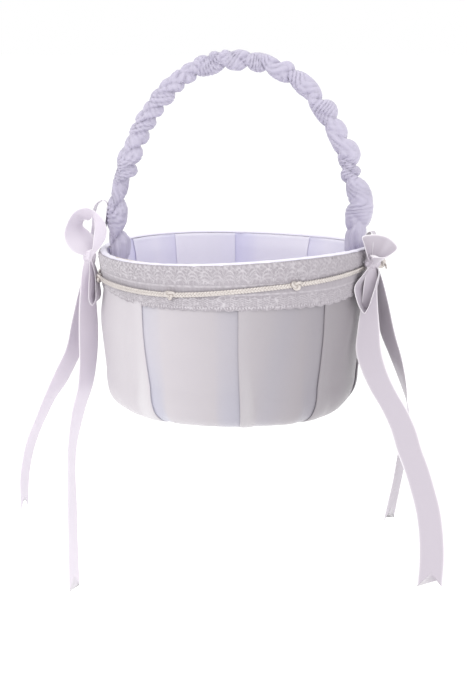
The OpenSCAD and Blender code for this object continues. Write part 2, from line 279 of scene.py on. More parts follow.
class Finish:
    # one material and the nodes in it
    def __init__(self, name):
        self.material = bpy.data.materials.new(name)
        self.material.use_nodes = True
        self.tree = self.material.node_tree
        self.shader = self.tree.nodes["Principled BSDF"]

    def feed(self, socket, value):
        if isinstance(value, Signal):
            self.tree.links.new(value.socket, socket)
        else:
            socket.default_value = value

    def node(self, kind, settings, values, output=0):
        made = self.tree.nodes.new(kind)
        for key, value in settings.items():
            setattr(made, key, value)
        for key, value in values.items():
            self.feed(made.inputs[key], value)
        return Signal(self, made.outputs[output])

    def place(self):
        return self.node("ShaderNodeTexCoord", {}, {}, "Object")

    def sideways(self):
        # metres to the right of the basket's middle
        return self.node("ShaderNodeSeparateXYZ", {}, {0: self.place()}, 0)

    def cloth(self):
        # the two directions along the cloth, in metres
        flat = self.node("ShaderNodeUVMap", {"uv_map": "cloth"}, {})
        return [self.node("ShaderNodeSeparateXYZ", {}, {0: flat}, k) for k in (0, 1)]

    def noise(self, scale, detail=3.0, rough=0.55):
        values = {"Vector": self.place(), "Scale": scale, "Detail": detail, "Roughness": rough}
        return self.node("ShaderNodeTexNoise", {}, values)

    def mix(self, factor, a, b):
        return self.node("ShaderNodeMix", {"data_type": "RGBA"}, {0: factor, 6: a, 7: b}, 2)

    def attribute(self, name):
        return self.node("ShaderNodeAttribute", {"attribute_name": name}, {}, 2)

    def bump(self, height, strength, distance):
        values = {"Strength": strength, "Distance": distance, "Height": height}
        return self.node("ShaderNodeBump", {}, values)

    def done(self, **values):
        for key, value in values.items():
            self.feed(self.shader.inputs[key.replace("_", " ")], value)
        return self.material


def colour(r, g, b):
    return (r, g, b, 1.0)


# finishes

def satin(name, light, shade, fold, crestHighlight, rough, sides=None):
    # smooth satin: fine threads along the cloth, a soft cloudy tone and a low sheen
    finish = Finish(name)
    across, along = finish.cloth()
    warpThread = across.wave(0.00022)
    weftThread = along.wave(0.0005)
    slub = finish.noise(90, 4)
    cloud = finish.noise(14, 2)
    height = warpThread * 0.6 + weftThread * 0.25 + slub * 0.8
    tone = (cloud * 0.8 + slub * 0.35 + warpThread * 0.08 - 0.1).limit()
    face = finish.mix(tone, shade, light)
    # painted shade: the colour turns cooler and darker down in the folds, and a painted highlight makes
    # it paler where the cloth is creased outwards
    depth = finish.attribute("hollow")
    face = finish.mix((depth * 0.75).limit(), face, fold)
    face = finish.mix((depth * -0.8).limit(), face, crestHighlight)
    if sides:
        # painted shade: the colour turns darker towards the basket's right side
        face = finish.mix((finish.sideways() * 8 + 0.45).limit() * 0.9, face, sides)
    return finish.done(
        Base_Color=face,
        Roughness=cloud * 0.12 + slub * 0.06 + (rough - 0.09),
        Normal=finish.bump(height, 0.35, 0.00006),
        Sheen_Weight=0.25,
        Sheen_Roughness=0.4,
        Specular_IOR_Level=0.5,
        Anisotropic=0.3,
    )


def ribbonSatin(name, light, shade, edge, sides):
    # ribbon satin: ribs along its length and a raised woven edge, with a painted highlight along the edge
    finish = Finish(name)
    across, along = finish.cloth()
    ribs = across.wave(0.00045)
    picks = along.wave(0.0007)
    cloud = finish.noise(26, 2)
    # the woven edge takes the edge colour, a painted highlight
    border = finish.attribute("edge")
    tone = (cloud * 0.75 + ribs * 0.1 + picks * 0.05 + 0.05).limit()
    # painted shade: the ribbon turns darker towards the basket's right side
    turned = (finish.sideways() * 6 + 0.5).limit() * 0.8
    face = finish.mix(turned, finish.mix(tone, shade, light), sides)
    return finish.done(
        Base_Color=finish.mix(border, face, edge),
        Roughness=cloud * 0.1 + border * 0.2 + 0.27,
        Normal=finish.bump(ribs * 0.5 + picks * 0.4 * (border + 0.4), 0.4, 0.00007),
        Sheen_Weight=0.2,
        Specular_IOR_Level=0.55,
        Anisotropic=0.4,
    )


def laceFinish(name, thread, ground, gap):
    # cotton lace: raised threads over a darker net
    finish = Finish(name)
    stitch = finish.attribute("stitch")
    fluff = finish.noise(900, 3)
    soft = finish.noise(30, 2)
    base = finish.mix((stitch * 1.3).limit(), ground, thread)
    # painted shade: towards the basket's right side the lace takes the darker net colour
    base = finish.mix((finish.sideways() * 9).limit(), base, ground)
    return finish.done(
        Base_Color=finish.mix((soft * 0.5 + fluff * 0.3 - 0.2).limit(), base, gap),
        Roughness=fluff * 0.15 + 0.7,
        Normal=finish.bump(fluff, 0.5, 0.0001),
        Sheen_Weight=0.3,
        Specular_IOR_Level=0.3,
    )


def metallicThread(name, light, dark):
    # flat metallic thread: bright foil with a fine twist
    finish = Finish(name)
    across, along = finish.cloth()
    twist = (along + across * 1.2).wave(0.0008)
    wear = finish.noise(300, 3)
    return finish.done(
        Base_Color=finish.mix((twist * 0.6 + wear * 0.4).limit(), dark, light),
        Metallic=0.55,
        Roughness=wear * 0.2 + 0.25,
        Normal=finish.bump(twist, 0.6, 0.00012),
        Specular_IOR_Level=0.6,
    )


def plainThread(name, light, dark):
    finish = Finish(name)
    twist = finish.noise(1500, 2)
    return finish.done(
        Base_Color=finish.mix(twist, dark, light),
        Roughness=twist * 0.2 + 0.6,
        Normal=finish.bump(twist, 0.4, 0.0001),
        Sheen_Weight=0.3,
    )


def board(name, light, dark, fibre):
    # pressed fibre board or card
    finish = Finish(name)
    grain = finish.noise(fibre, 5, 0.7)
    blotch = finish.noise(18, 2)
    return finish.done(
        Base_Color=finish.mix((grain * 0.7 + blotch * 0.5 - 0.1).limit(), dark, light),
        Roughness=grain * 0.2 + 0.7,
        Normal=finish.bump(grain, 0.5, 0.0003),
    )


def smoothSolid(name, light, dark, rough, metallic):
    # moulded plastic or plain steel with fine scratches
    finish = Finish(name)
    scratch = finish.noise(420, 4)
    return finish.done(
        Base_Color=finish.mix(scratch, dark, light),
        Roughness=scratch * 0.15 + rough,
        Normal=finish.bump(scratch, 0.15, 0.0001),
        Metallic=metallic,
    )


finishes = {
    # in the satins, fold is a painted shade colour and crest a painted highlight colour; the cover's
    # sides colour is painted shade on the basket's right side
    "cover": satin("cover satin", colour(0.56, 0.525, 0.555), colour(0.50, 0.465, 0.50),
                   colour(0.45, 0.455, 0.56), colour(0.64, 0.62, 0.64), 0.42,
                   sides=colour(0.2, 0.18, 0.198)),
    "lining": satin("lining satin", colour(0.78, 0.755, 0.84), colour(0.70, 0.675, 0.775),
                    colour(0.60, 0.58, 0.77), colour(0.82, 0.79, 0.86), 0.4),
    "sleeve": satin("sleeve satin", colour(0.53, 0.50, 0.60), colour(0.42, 0.39, 0.51),
                    colour(0.6, 0.6, 0.7), colour(0.6, 0.6, 0.7), 0.36),
    "floor": satin("floor satin", colour(0.76, 0.74, 0.84), colour(0.68, 0.66, 0.77),
                   colour(0.58, 0.57, 0.77), colour(0.82, 0.80, 0.87), 0.4),
    # the ribbon's edge colour is a painted highlight, and its last colour is painted shade on the
    # basket's right side
    "ribbon": ribbonSatin(
        "ribbon satin", colour(0.72, 0.66, 0.735), colour(0.63, 0.575, 0.655),
        colour(0.9, 0.87, 0.9), colour(0.42, 0.38, 0.43)),
    "lace": laceFinish(
        "lace thread", colour(0.56, 0.53, 0.56), colour(0.31, 0.28, 0.31), colour(0.44, 0.41, 0.445)),
    "cord": metallicThread("metallic cord", colour(0.72, 0.68, 0.65), colour(0.47, 0.42, 0.40)),
    "thread": plainThread("sewing thread", colour(0.85, 0.83, 0.86), colour(0.7, 0.68, 0.72)),
    "moulded": board("moulded fibre", colour(0.72, 0.67, 0.60), colour(0.55, 0.49, 0.42), 260),
    "card": board("grey board", colour(0.62, 0.57, 0.50), colour(0.48, 0.43, 0.37), 180),
    "wadding": board("wadding", colour(0.88, 0.88, 0.88), colour(0.78, 0.78, 0.79), 700),
    "hoop": smoothSolid("hoop plastic", colour(0.82, 0.82, 0.84), colour(0.74, 0.74, 0.76), 0.35, 0.0),
    "rivet": smoothSolid("rivet steel", colour(0.68, 0.68, 0.70), colour(0.5, 0.5, 0.52), 0.3, 0.9),
}

kept = {
    "core_shell": "moulded", "base_card": "card", "floor_card": "card", "handle_hoop": "hoop",
    "handle_rivets": "rivet", "left_tie": "thread", "right_tie": "thread",
}
for node, finish in kept.items():
    nodes[node].data.materials.clear()
    nodes[node].data.materials.append(finishes[finish])
print("finishes done")


# camera and light

camera = {
    "distance": 1.30,        # from the middle of the rim
    "rise": 0.158,           # eye above the rim
    "focal": 2044 / 467,     # focal length over the picture's width
    "down": 9.89,            # degrees below level
    "left": 0.07,            # degrees to the left
}


def makeCamera():
    data = bpy.data.cameras.new("camera")
    data.sensor_fit = "HORIZONTAL"
    data.sensor_width = 24
    data.lens = data.sensor_width * camera["focal"]
    data.clip_end = 20
    eye = bpy.data.objects.new("camera", data)
    back = math.sqrt(camera["distance"] ** 2 - camera["rise"] ** 2)
    eye.location = (0, -back, rimTop + camera["rise"])
    eye.rotation_euler = (math.radians(90 - camera["down"]), 0, math.radians(camera["left"]))
    bpy.context.scene.collection.objects.link(eye)
    bpy.context.scene.camera = eye


studio = {
    "skyLight": 1.0,         # even light from all round
    "floorDrop": 0.22,       # floor below the lowest streamer
    "floorSize": 30,
    "floorGlow": 0.12,       # keeps the floor evenly pale
    "lamps": [
        # name, place, aim, size, power in watts
        ("key", (-1.5, -1.3, 1.0), (0, 0, -0.15), 1.2, 12),
        ("fill", (1.3, -1.6, 0.5), (0, 0, -0.15), 1.6, 10),
        ("top", (0.1, 0.3, 1.6), (0, 0, -0.12), 1.2, 8),
    ],
}


def makeStudio():
    world = bpy.data.worlds.new("studio")
    world.use_nodes = True
    world.node_tree.nodes["Background"].inputs[0].default_value = colour(1, 1, 1)
    world.node_tree.nodes["Background"].inputs[1].default_value = studio["skyLight"]
    bpy.context.scene.world = world
    bpy.context.scene.view_settings.view_transform = "Standard"
    for name, place, aim, size, power in studio["lamps"]:
        data = bpy.data.lights.new(name, "AREA")
        data.size = size
        data.energy = power
        lamp = bpy.data.objects.new(name, data)
        lamp.location = place
        lamp.rotation_euler = (Vector(aim) - Vector(place)).to_track_quat("-Z", "Y").to_euler()
        bpy.context.scene.collection.objects.link(lamp)
    low = cadBox[0].z - studio["floorDrop"]
    bpy.ops.mesh.primitive_grid_add(
        x_subdivisions=4, y_subdivisions=4, size=studio["floorSize"], location=(0, 8, low))
    floor = bpy.context.object
    floor.name = "studio_floor"
    pale = Finish("pale floor")
    tone = pale.noise(2, 2)
    floor.data.materials.append(pale.done(
        Base_Color=pale.mix(tone, colour(0.985, 0.985, 0.985), colour(1, 1, 1)),
        Roughness=0.9, Emission_Color=colour(1, 1, 1), Emission_Strength=studio["floorGlow"]))


makeCamera()
makeStudio()
print("camera and studio done")


# pleated satin

# one fold across the cloth: distance from the fold's line and depth under the surface, in mm,
# from the panel that goes under to the panel that lies on top
foldLine = [
    (-16, 0.0), (-12, 0.25), (-9, 0.55), (-6, 0.8), (-3.5, 0.9), (-1.8, 0.9), (-0.6, 0.82), (0.2, 0.72),
    (0.6, 0.6), (0.7, 0.48), (0.55, 0.36), (0.25, 0.22), (0, 0.05), (0, -0.14), (0.3, -0.34),
    (1.2, -0.54), (2.8, -0.58), (5, -0.48), (8, -0.25), (12, -0.06), (16, 0.0),
]


def pleatColumns(radius, folds, between):
    # arc places, depths and fold shares of the columns all round; folds are (degrees, side on top)
    columns = []
    for k, (place, side) in enumerate(folds):
        shape = foldLine if side > 0 else [(-a, d) for a, d in foldLine[::-1]]
        centre = math.radians(place) * radius / mm
        columns += [(centre + a, d, 1.0, place, a) for a, d in shape]
        following = folds[(k + 1) % len(folds)][0] + (360 if k == len(folds) - 1 else 0)
        end = math.radians(following) * radius / mm - 16
        start = centre + 16
        for t in np.arange(1, between) / between:
            columns.append((start + (end - start) * t, 0.0, 0.0, 0.0, 0.0))
    return np.array(columns)


cover = {
    # where each pleat's line is, and which side lies on top
    "folds": [(-43.5, -1), (1, 1), (40.5, 1), (86, 1), (131, 1), (176, -1), (221, -1), (266, -1)],
    "depth": 1.0,            # of the folds at the rim
    "bottomRidge": 2.6,      # how much prouder the ridges stand at the base
    "spread": 1.3,           # how much wider the ridges get towards the base
    "slouch": 1.3 * mm,      # softness of the panels
    "bulge": 0.6 * mm,       # how far the loose cloth stands off the shell
    "leftBulge": 4.6 * mm,   # the slack on the left side
    "slackAt": (-98, 34),    # where that slack is and how far it spreads, in degrees
    "tautAt": (92, 36),      # where the cloth is pulled close on the right, the same
    "hollow": 1.5 * mm,      # depth of the soft valley in the front right panel
    "hollowAt": (27, 7),     # where the valley starts at the rim and how wide it is, in degrees
    "hollowLean": 130,       # degrees that it leans to the left for each metre down
    "bag": 3.2 * mm,         # how far the cloth bags out round the lower corner
    "thickness": 0.3 * mm,
}


def makeCover():
    profile = bowlProfile(44, 18, 0.2 * mm, wallTop, discR - 1 * mm)
    columns = pleatColumns(coverR, cover["folds"], 16)
    place, depth, fold, centre, reach = columns.T
    drop = lengthAlong(profile)
    base = ease((drop - 0.4 * drop[-1]) / (0.4 * drop[-1]))[:, None]
    tucked = ease((drop - drop[-9]) / (drop[-1] - drop[-9]))[:, None]
    # the ridges widen and lean near the base
    lean = (3.0 * np.sin(np.radians(centre) * 1.7 + 2.6))[None, :]
    near = np.exp(-(reach[None, :] / 7.5) ** 2) * fold[None, :]
    arc = place[None, :] + (reach[None, :] * cover["spread"] * (1 - tucked) + lean) * base * near
    right = nearAngle(np.degrees(place * mm / coverR), *cover["tautAt"])[None, :]
    tall = cover["depth"] + (cover["bottomRidge"] - cover["depth"]) * base * (1 - 0.7 * right)
    ridge = np.maximum(-depth, 0)[None, :] * tall
    valley = np.maximum(depth, 0)[None, :] * cover["depth"]
    away = np.minimum(np.abs(reach), 16)[None, :]
    # painted shade on the panel that goes under each fold and a painted highlight on the ridge beside it,
    # both stronger towards the base
    hollow = np.where(depth[None, :] > 0, 1, 0) * fold[None, :] * (1 - away / 18) ** 0.7
    shine = np.where(depth[None, :] < 0, 1, 0) * fold[None, :] * np.exp(-((away - 3) / 3.5) ** 2)
    paintedShading = hollow * (0.55 + 0.45 * base) - shine * (0.25 + 0.75 * base) * 0.9
    angle = arc * mm / coverR
    degrees = np.degrees(angle)
    r = profile[:, 0][:, None] + (ridge - valley) * (1 - 0.6 * tucked) * mm
    # loose panels: none at the rim where the lace holds them
    free = ease((drop - 14 * mm) / (34 * mm))[:, None] * (1 - tucked)
    wave = ripple(angle * coverR, drop[:, None] * 0.35, 11, 0.055)
    left = nearAngle(degrees, *cover["slackAt"])
    stand = cover["bulge"] + cover["leftBulge"] * left + cover["slouch"] * (0.5 + 0.5 * wave)
    stand = stand * (1 - 0.8 * right)
    start, width = cover["hollowAt"]
    dip = np.exp(-((degrees - start + cover["hollowLean"] * drop[:, None]) / width) ** 2)
    # painted shade down the soft valley
    paintedShading = paintedShading + 0.45 * dip
    r = r + free * (stand - cover["hollow"] * dip)
    # the cloth bags out round the lower corner
    low = underside + bowlShape["cornerR"]
    down = np.clip((low - profile[:, 1]) / bowlShape["cornerR"], 0, 1)
    slope = np.arcsin(down)[:, None]
    bag = cover["bag"] * np.sin(2 * slope) ** 1.8 * (1 - 0.35 * left) * (1 - 0.9 * right)
    r = r + bag * np.cos(slope)
    # small tucks where the cloth turns under
    tuck = ease((drop - drop[-20]) / (14 * mm))[:, None] * (1 - tucked)
    r = r + tuck * 0.7 * mm * (np.abs(np.sin(11 * angle + 2 * np.sin(3 * angle))) - 0.6)
    z = profile[:, 1][:, None] + warp(degrees, profile[:, 1][:, None]) - bag * np.sin(slope)
    z = np.maximum(z, underside + 0.2 * mm)
    z = z + (1 - np.abs(2 * tucked - 1)) * 0.3 * mm * np.sin(8 * angle + 0.7)
    flat = wrapCloth(arc * mm, drop[:, None])
    piece = gridMesh("pleated_cover", aroundAxis(r, degrees, z), flat)
    paint(piece, "hollow", paintedShading)
    thicken(piece, cover["thickness"])
    dress(piece, finishes["cover"], "cover_satin", "outer_satin")


lining = {
    "folds": [(-8, -1), (24, -1), (56, 1), (84, 1), (112, 1), (143, 1), (180.5, 1), (210, -1),
              (236, -1), (264, -1), (292, -1), (322, 1)],
    "depth": 0.75,
    "slouch": 0.8 * mm,
    "inset": 4.3 * mm,       # inside the cover's surface
    "thickness": 0.25 * mm,
}


def makeLining():
    profile = bowlProfile(40, 8, lining["inset"], wallTop + 0.5 * mm, 48 * mm)
    columns = pleatColumns(coverR - lining["inset"], lining["folds"], 8)
    place, depth, fold, centre, reach = columns.T
    drop = lengthAlong(profile)
    low = ease(drop / drop[-1])[:, None]
    arc = place[None, :] + 2.5 * np.sin(centre)[None, :] * fold[None, :] * low
    angle = arc * mm / (coverR - lining["inset"])
    # seen from inside, so the folds stand inwards
    r = profile[:, 0][:, None] + depth[None, :] * lining["depth"] * mm - 0.5 * mm
    away = np.minimum(np.abs(reach), 16)[None, :]
    # painted shade under the lining's folds, with random paler and darker bands round the lining
    hollow = np.where(depth[None, :] > 0, 1, 0) * fold[None, :] * (1 - away / 18)
    paintedShading = 0.9 * hollow + 0.35 * ripple(angle * coverR, 0 * angle, 41, 0.05)
    wave = ripple(angle * coverR, drop[:, None] * 0.25, 23, 0.04)
    r = r + lining["slouch"] * (wave - 0.9) * ease(drop / (10 * mm))[:, None]
    degrees = np.degrees(angle)
    z = profile[:, 1][:, None] + warp(degrees, profile[:, 1][:, None])
    flat = wrapCloth(arc * mm, drop[:, None])
    piece = gridMesh("pleated_lining", aroundAxis(r, degrees, z), flat)
    paint(piece, "hollow", paintedShading)
    thicken(piece, lining["thickness"])
    dress(piece, finishes["lining"], "lining_satin", "lining_satin")


lip = {
    "width": 4.2 * mm,
    "height": 2.0 * mm,
    "inset": 4.4 * mm,       # its inner edge, inside the cover's surface
}


def makeLip():
    # the folded satin edge: an oval section carried round the rim, a little uneven
    w = np.radians(np.linspace(-90, 270, 25)[:-1])[None, :]
    a = np.linspace(0, turn, 361)[:-1][:, None]
    pinch = 1 + 0.06 * np.sin(37 * a) + 0.05 * np.sin(61 * a + 1)
    r = coverR - lip["inset"] + lip["width"] / 2 + lip["width"] / 2 * np.cos(w) * pinch
    z = rimTop - lip["height"] / 2 - 0.2 * mm + lip["height"] / 2 * np.sin(w) * pinch
    degrees = np.degrees(a)
    points = aroundAxis(r, degrees, z + warp(degrees, rimTop))
    points = np.concatenate([points, points[:1]])
    around = np.arange(points.shape[1] + 1) * 0.4 * mm
    flat = np.stack(np.meshgrid(around, np.linspace(0, turn * coverR, len(points))), -1)
    piece = outward(gridMesh("rim_lip", points, flat))
    dress(piece, finishes["lining"], "lining_satin", "rim_binding")


makeCover()
makeLining()
makeLip()
print("pleated satin done")


# lace and metallic cord

lace = {
    "columns": 1500,
    "rows": 66,
    "repeats": 72,           # shell motifs round the rim
    "waves": 72,             # waves along the lower edge
    "relief": 0.6 * mm,      # height of the stitches
    "scallop": 0.9 * mm,
    "sideRise": 4.2 * mm,    # how much narrower the band is gathered at the sides
}


def cordShape(u, v, path, width):
    # 1 on a stitched line where v is near path(u), falling to 0 beside it
    return np.clip(1 - ((v - path) / width) ** 2, 0, 1) ** 0.5


def laceRelief(angle, down):
    # how much thread there is at each place: shells, ladder strip and waves
    m = angle / turn * lace["repeats"]
    near = np.abs((m % 1) - 0.5) * 2          # 0 in the middle of a shell, 1 between two
    d = down / mm
    thread = np.zeros_like(d + near)
    for k, (base, tall) in enumerate([(11.6, 8.2), (11.6, 5.6), (11.6, 3.2)]):
        arch = base - tall * np.sqrt(np.clip(1 - near ** 2, 0, 1))
        thread = np.maximum(thread, cordShape(angle, d, arch, 0.55) * (1 - 0.15 * k))
    spoke = np.abs(np.sin(6 * np.pi * near)) ** 8 * ((d > 4) & (d < 11.4))
    thread = np.maximum(thread, 0.55 * spoke)
    crown = cordShape(angle, d, 2.6 + 0.7 * np.cos(2 * turn * m), 0.5)
    picots = np.clip(np.sin(2 * turn * m) * 3, 0, 1) * cordShape(angle, d, 1.4, 0.8)
    thread = np.maximum(thread, np.maximum(0.8 * crown, 0.7 * picots))
    for row in (12.2, 12.9, 17.6, 18.3):
        thread = np.maximum(thread, 0.85 * cordShape(angle, d, row, 0.32))
    ladder = (np.abs(np.sin(turn * angle * coverR / mm / 1.7)) > 0.5) * ((d > 13.1) & (d < 17.4))
    thread = np.maximum(thread, 0.3 * ladder)
    n = angle / turn * lace["waves"]
    swing = np.abs((n % 1) - 0.5) * 2
    for k, offset in enumerate((0, 1.3, 2.6, 3.9)):
        strand = cordShape(angle, d, 19.8 + offset + 1.6 * swing, 0.4) * (1 - 0.1 * k)
        thread = np.maximum(thread, strand)
    hem = cordShape(angle, d, 26.0 - 0.2 * swing, 0.6) * (0.5 + 0.5 * np.sign(np.sin(turn * 4 * n)))
    wobble = ripple(angle * coverR * 3, d * 3 * mm, 17, 0.012)
    thread = np.clip(thread * (0.75 + 0.3 * wobble), 0, 1)
    # fine winding threads fill the ground between the motifs
    winding = np.abs(ripple(angle * coverR, d * mm, 19, 0.0036))
    thread = np.maximum(thread, 0.85 * np.clip(1 - winding / 0.3, 0, 1) * ((d < 11.6) | (d > 19)))
    net = np.maximum(np.sin(turn * (angle * coverR / mm / 1.3 + d / 1.3)),
                     np.sin(turn * (angle * coverR / mm / 1.3 - d / 1.3)))
    thread = np.maximum(thread, 0.25 * np.clip(net * 2 - 1, 0, 1))
    return np.maximum(thread, hem)


def makeLace():
    angle = np.linspace(0, turn, lace["columns"] + 1)[:-1][None, :]
    t = np.linspace(0, 1, lace["rows"])[:, None]
    n = angle / turn * lace["waves"]
    edge = lace["scallop"] * (np.abs(np.sin(np.pi * n)) - 0.4)
    side = ease((np.abs((np.degrees(angle) + 180) % 360 - 180) - 38) / 34)
    down = t * (laceTop - laceBottom + 0.4 * mm + edge * t ** 4)
    thread = laceRelief(angle, down) * np.ones_like(down)
    degrees = np.degrees(angle)
    z = laceTop + 0.9 * mm - down * (1 - lace["sideRise"] * side / (laceTop - laceBottom))
    z = z + warp(degrees, z)
    sag = 0.25 * mm * ripple(angle * coverR, z, 5, 0.03)
    drawn = 1.1 * mm * ease((2.4 * mm - down) / (2.4 * mm))
    r = wallRadius(laceTop - down) + 1.15 * mm - drawn + thread * lace["relief"] + sag
    piece = gridMesh("lace_trim", aroundAxis(r, degrees, z), wrapCloth(angle * coverR, down))
    paint(piece, "stitch", thread)
    dress(piece, finishes["lace"], "lace", "lace_band")


cord = {
    "wide": 2.8 * mm,
    "drop": 16.3 * mm,       # below the rim's top
    "plaits": 92,            # crossings of the braid round the rim
    "knots": 7,
    "firstKnot": 24.4,       # degrees from the front
    "knotSize": 2.6 * mm,
    "sag": 2.3 * mm,         # at the left front knot
    "sagAt": (-27, 30),      # where it sags and how far that spreads, in degrees
    "rise": 5.6 * mm,        # where the cord is drawn up beside the right bow
    "riseAt": (82, 34),
    "endKnot": 88,           # degrees round to the knot that joins the cord's ends
    "endSize": 3.8 * mm,
}


def cordHeight(degrees):
    # the cord's height round the rim: uneven, hanging a little at the left front knot
    a = (degrees + 180) % 360 - 180
    place, spread = cord["sagAt"]
    sag = cord["sag"] * np.exp(-((a - place) / spread) ** 2)
    place, spread = cord["riseAt"]
    rise = cord["rise"] * np.exp(-((a - place) / spread) ** 2)
    return rimTop - cord["drop"] - sag + rise + warp(degrees, rimTop)


def tube(name, path, side, wide, thick, sides=8, closed=False):
    # a tube of oval section along points, wide along side
    path = np.asarray(path, float)
    if closed:
        forward = unit(np.roll(path, -1, 0) - np.roll(path, 1, 0))
    else:
        forward = unit(np.gradient(path, axis=0))
    side = unit(side - np.sum(side * forward, -1, keepdims=True) * forward)
    normal = np.cross(forward, side)
    a = np.linspace(0, turn, sides + 1)[:-1]
    a = a[None, :, None]
    points = path[:, None] + wide * np.cos(a) * side[:, None] + thick * np.sin(a) * normal[:, None]
    if closed:
        points = np.concatenate([points, points[:1]])
        path = np.concatenate([path, path[:1]])
    around = np.arange(sides + 1) / sides * 2 * (wide + thick)
    flat = np.stack(np.meshgrid(around, lengthAlong(path)), -1)
    return outward(gridMesh(name, points, flat, cap=not closed))


def alongRim(degrees, standOff, height):
    return aroundAxis(wallRadius(height - warp(degrees, rimTop)) + standOff, degrees, height)


def makeCord():
    # three flat strands plaited round the rim
    strands = []
    degrees = np.linspace(0, 360, cord["plaits"] * 14 + 1)[:-1]
    phase = np.radians(degrees) * cord["plaits"]
    up = np.tile([0, 0, 1.0], (len(degrees), 1))
    for k in range(3):
        sway = np.sin(phase + k * turn / 3) * (cord["wide"] / 2 - 0.45 * mm)
        over = np.sin(2 * (phase + k * turn / 3)) * 0.28 * mm
        path = alongRim(degrees, 2.45 * mm + over, cordHeight(degrees) + sway)
        strands.append(tube("strand", path, up, 0.74 * mm, 0.36 * mm, 7, closed=True))
    dress(joined("braided_cord", strands), finishes["cord"], "metallic_cord", "trim_cord")


def overhandKnot(name, degrees, size, standOff=3.1 * mm):
    # a pulled-tight overhand knot in the cord, standing on the lace
    t = np.linspace(0, turn, 121)[:-1]
    loop = np.stack([
        np.sin(t) + 2 * np.sin(2 * t), np.cos(t) - 2 * np.cos(2 * t), -1.3 * np.sin(3 * t)], -1) / 3
    centre = alongRim(np.array([degrees]), standOff, cordHeight(np.array([degrees])))[0]
    x, y = angleOf(degrees)
    out = np.array([x, y, 0.0])
    across = np.array([-y, x, 0.0])
    path = centre + size * (
        loop[:, :1] * across * 1.15 + loop[:, 1:2] * np.array([0, 0, 0.85]) + loop[:, 2:] * out * 0.75)
    side = unit(np.roll(path, -1, 0) + np.roll(path, 1, 0) - 2 * path + 1e-9)
    return tube(name, path, side, 0.45 * size, 0.36 * size, 8, closed=True)


def makeKnots():
    places = [cord["firstKnot"] + 360 / cord["knots"] * k for k in range(cord["knots"]) if k != 1]
    small = [overhandKnot("knot", p, cord["knotSize"]) for p in places]
    dress(joined("cord_knots", small), finishes["cord"], "metallic_cord", "trim_knots")
    place = cord["endKnot"]
    parts = [overhandKnot("closing_knot", place, cord["endSize"], 7 * mm)]
    x, y = angleOf(place)
    start = alongRim(np.array([place]), 8 * mm, cordHeight(np.array([place])))[0]
    for tilt in (-1, 1):
        t = np.linspace(0, 1, 9)[:, None]
        end = np.array([-y * 3.5 * tilt + x * 2.2, x * 3.5 * tilt + y * 2.2, -4.5]) * mm
        path = start + t * end + t * (1 - t) * np.array([x, y, 0]) * 2 * mm
        parts.append(tube("end", path, np.tile([0, 0, 1.0], (9, 1)), 0.9 * mm, 0.5 * mm))
    dress(joined("cord_end_knot_tied", parts), finishes["cord"], "metallic_cord", "cord_end_knot")


makeLace()
makeCord()
makeKnots()
print("lace and cord done")


# ruched handle

handle = {
    "rodR": 2.5 * mm,
    "rise": 108 * mm,        # of the hoop above its widest place
    "topR": 60 * mm,         # curve across the top
    "legIn": 6.7,            # degrees that the legs lean
    "legDown": 50 * mm,      # how far the sleeve goes down inside the rim
    "around": 48,
    "perMm": 2,              # rings of cloth for each mm
    "skew": 3.4,             # how far the gathers slant, in mm for each radian round the hoop
    "creases": 0.6,          # depth of the small creases in mm
}

# scallops of the gathered sleeve from the left foot to the right foot, on the side that
# faces the middle: where each starts along the hoop, how far its start and its middle
# stand from the hoop's centre, all in mm
innerScallops = [
    (0, 4.6, 4.9), (24, 4.6, 5.4), (44, 7.5, 9.0), (60, 3.4, 7.8), (81, 3.0, 5.8), (96, 4.6, 9.0),
    (105, 4.8, 8.8), (118, 3.8, 8.2), (129, 4.4, 7.8), (139, 3.8, 7.6), (148, 3.6, 8.2),
    (160, 4.0, 7.4), (169, 4.0, 7.2), (179, 3.8, 8.0), (199, 3.4, 7.6), (214, 3.2, 6.8),
    (227, 2.9, 6.6), (245, 2.9, 5.2), (262, 2.8, 5.4), (282, 2.8, 5.0), (302, 3.0, 4.8),
    (312, 2.8, 6.0), (321, 2.8, 4.6), (335, 2.9, 7.4), (352, 5.2, 7.2), (368, 5.4, 6.0), (390, 4.7, 4.9),
]
# the same on the outer side
outerScallops = [
    (0, 4.6, 4.8), (30, 4.5, 4.7), (50, 2.9, 3.6), (61, 2.9, 5.6), (82, 2.8, 4.0), (101, 2.8, 5.6),
    (113, 2.8, 4.4), (121, 2.8, 5.0), (130, 2.9, 5.4), (138, 2.8, 4.6), (146, 2.8, 5.2),
    (155, 2.8, 5.2), (164, 2.8, 4.6), (172, 2.8, 4.8), (180, 2.8, 5.6), (190, 2.9, 6.0),
    (197, 2.8, 5.8), (203, 3.0, 5.4), (215, 3.2, 5.6), (234, 3.2, 7.2), (243, 3.8, 7.6),
    (267, 2.9, 9.2), (281, 4.2, 8.0), (295, 4.4, 10.2), (312, 3.6, 7.0), (319, 3.0, 11.0),
    (350, 5.6, 6.2), (370, 4.7, 4.8), (392, 4.6, 4.8),
]


def scallopReach(rows, s, length):
    # reach of the cloth at s mm along: round lobes with sharp pinches between them
    rows = np.array(rows + [(length, rows[-1][1], rows[-1][2])])
    s = np.clip(s, 0, length - 0.01)
    k = np.clip(np.searchsorted(rows[:, 0], s, side="right") - 1, 0, len(rows) - 2)
    u = (s - rows[k, 0]) / (rows[k + 1, 0] - rows[k, 0])
    base = rows[k, 1] * (1 - u) + rows[k + 1, 1] * u
    dome = np.clip(1 - np.abs(2 * u - 1) ** 2.2, 0, 1) ** 0.62
    return base + (rows[k, 2] - base) * dome


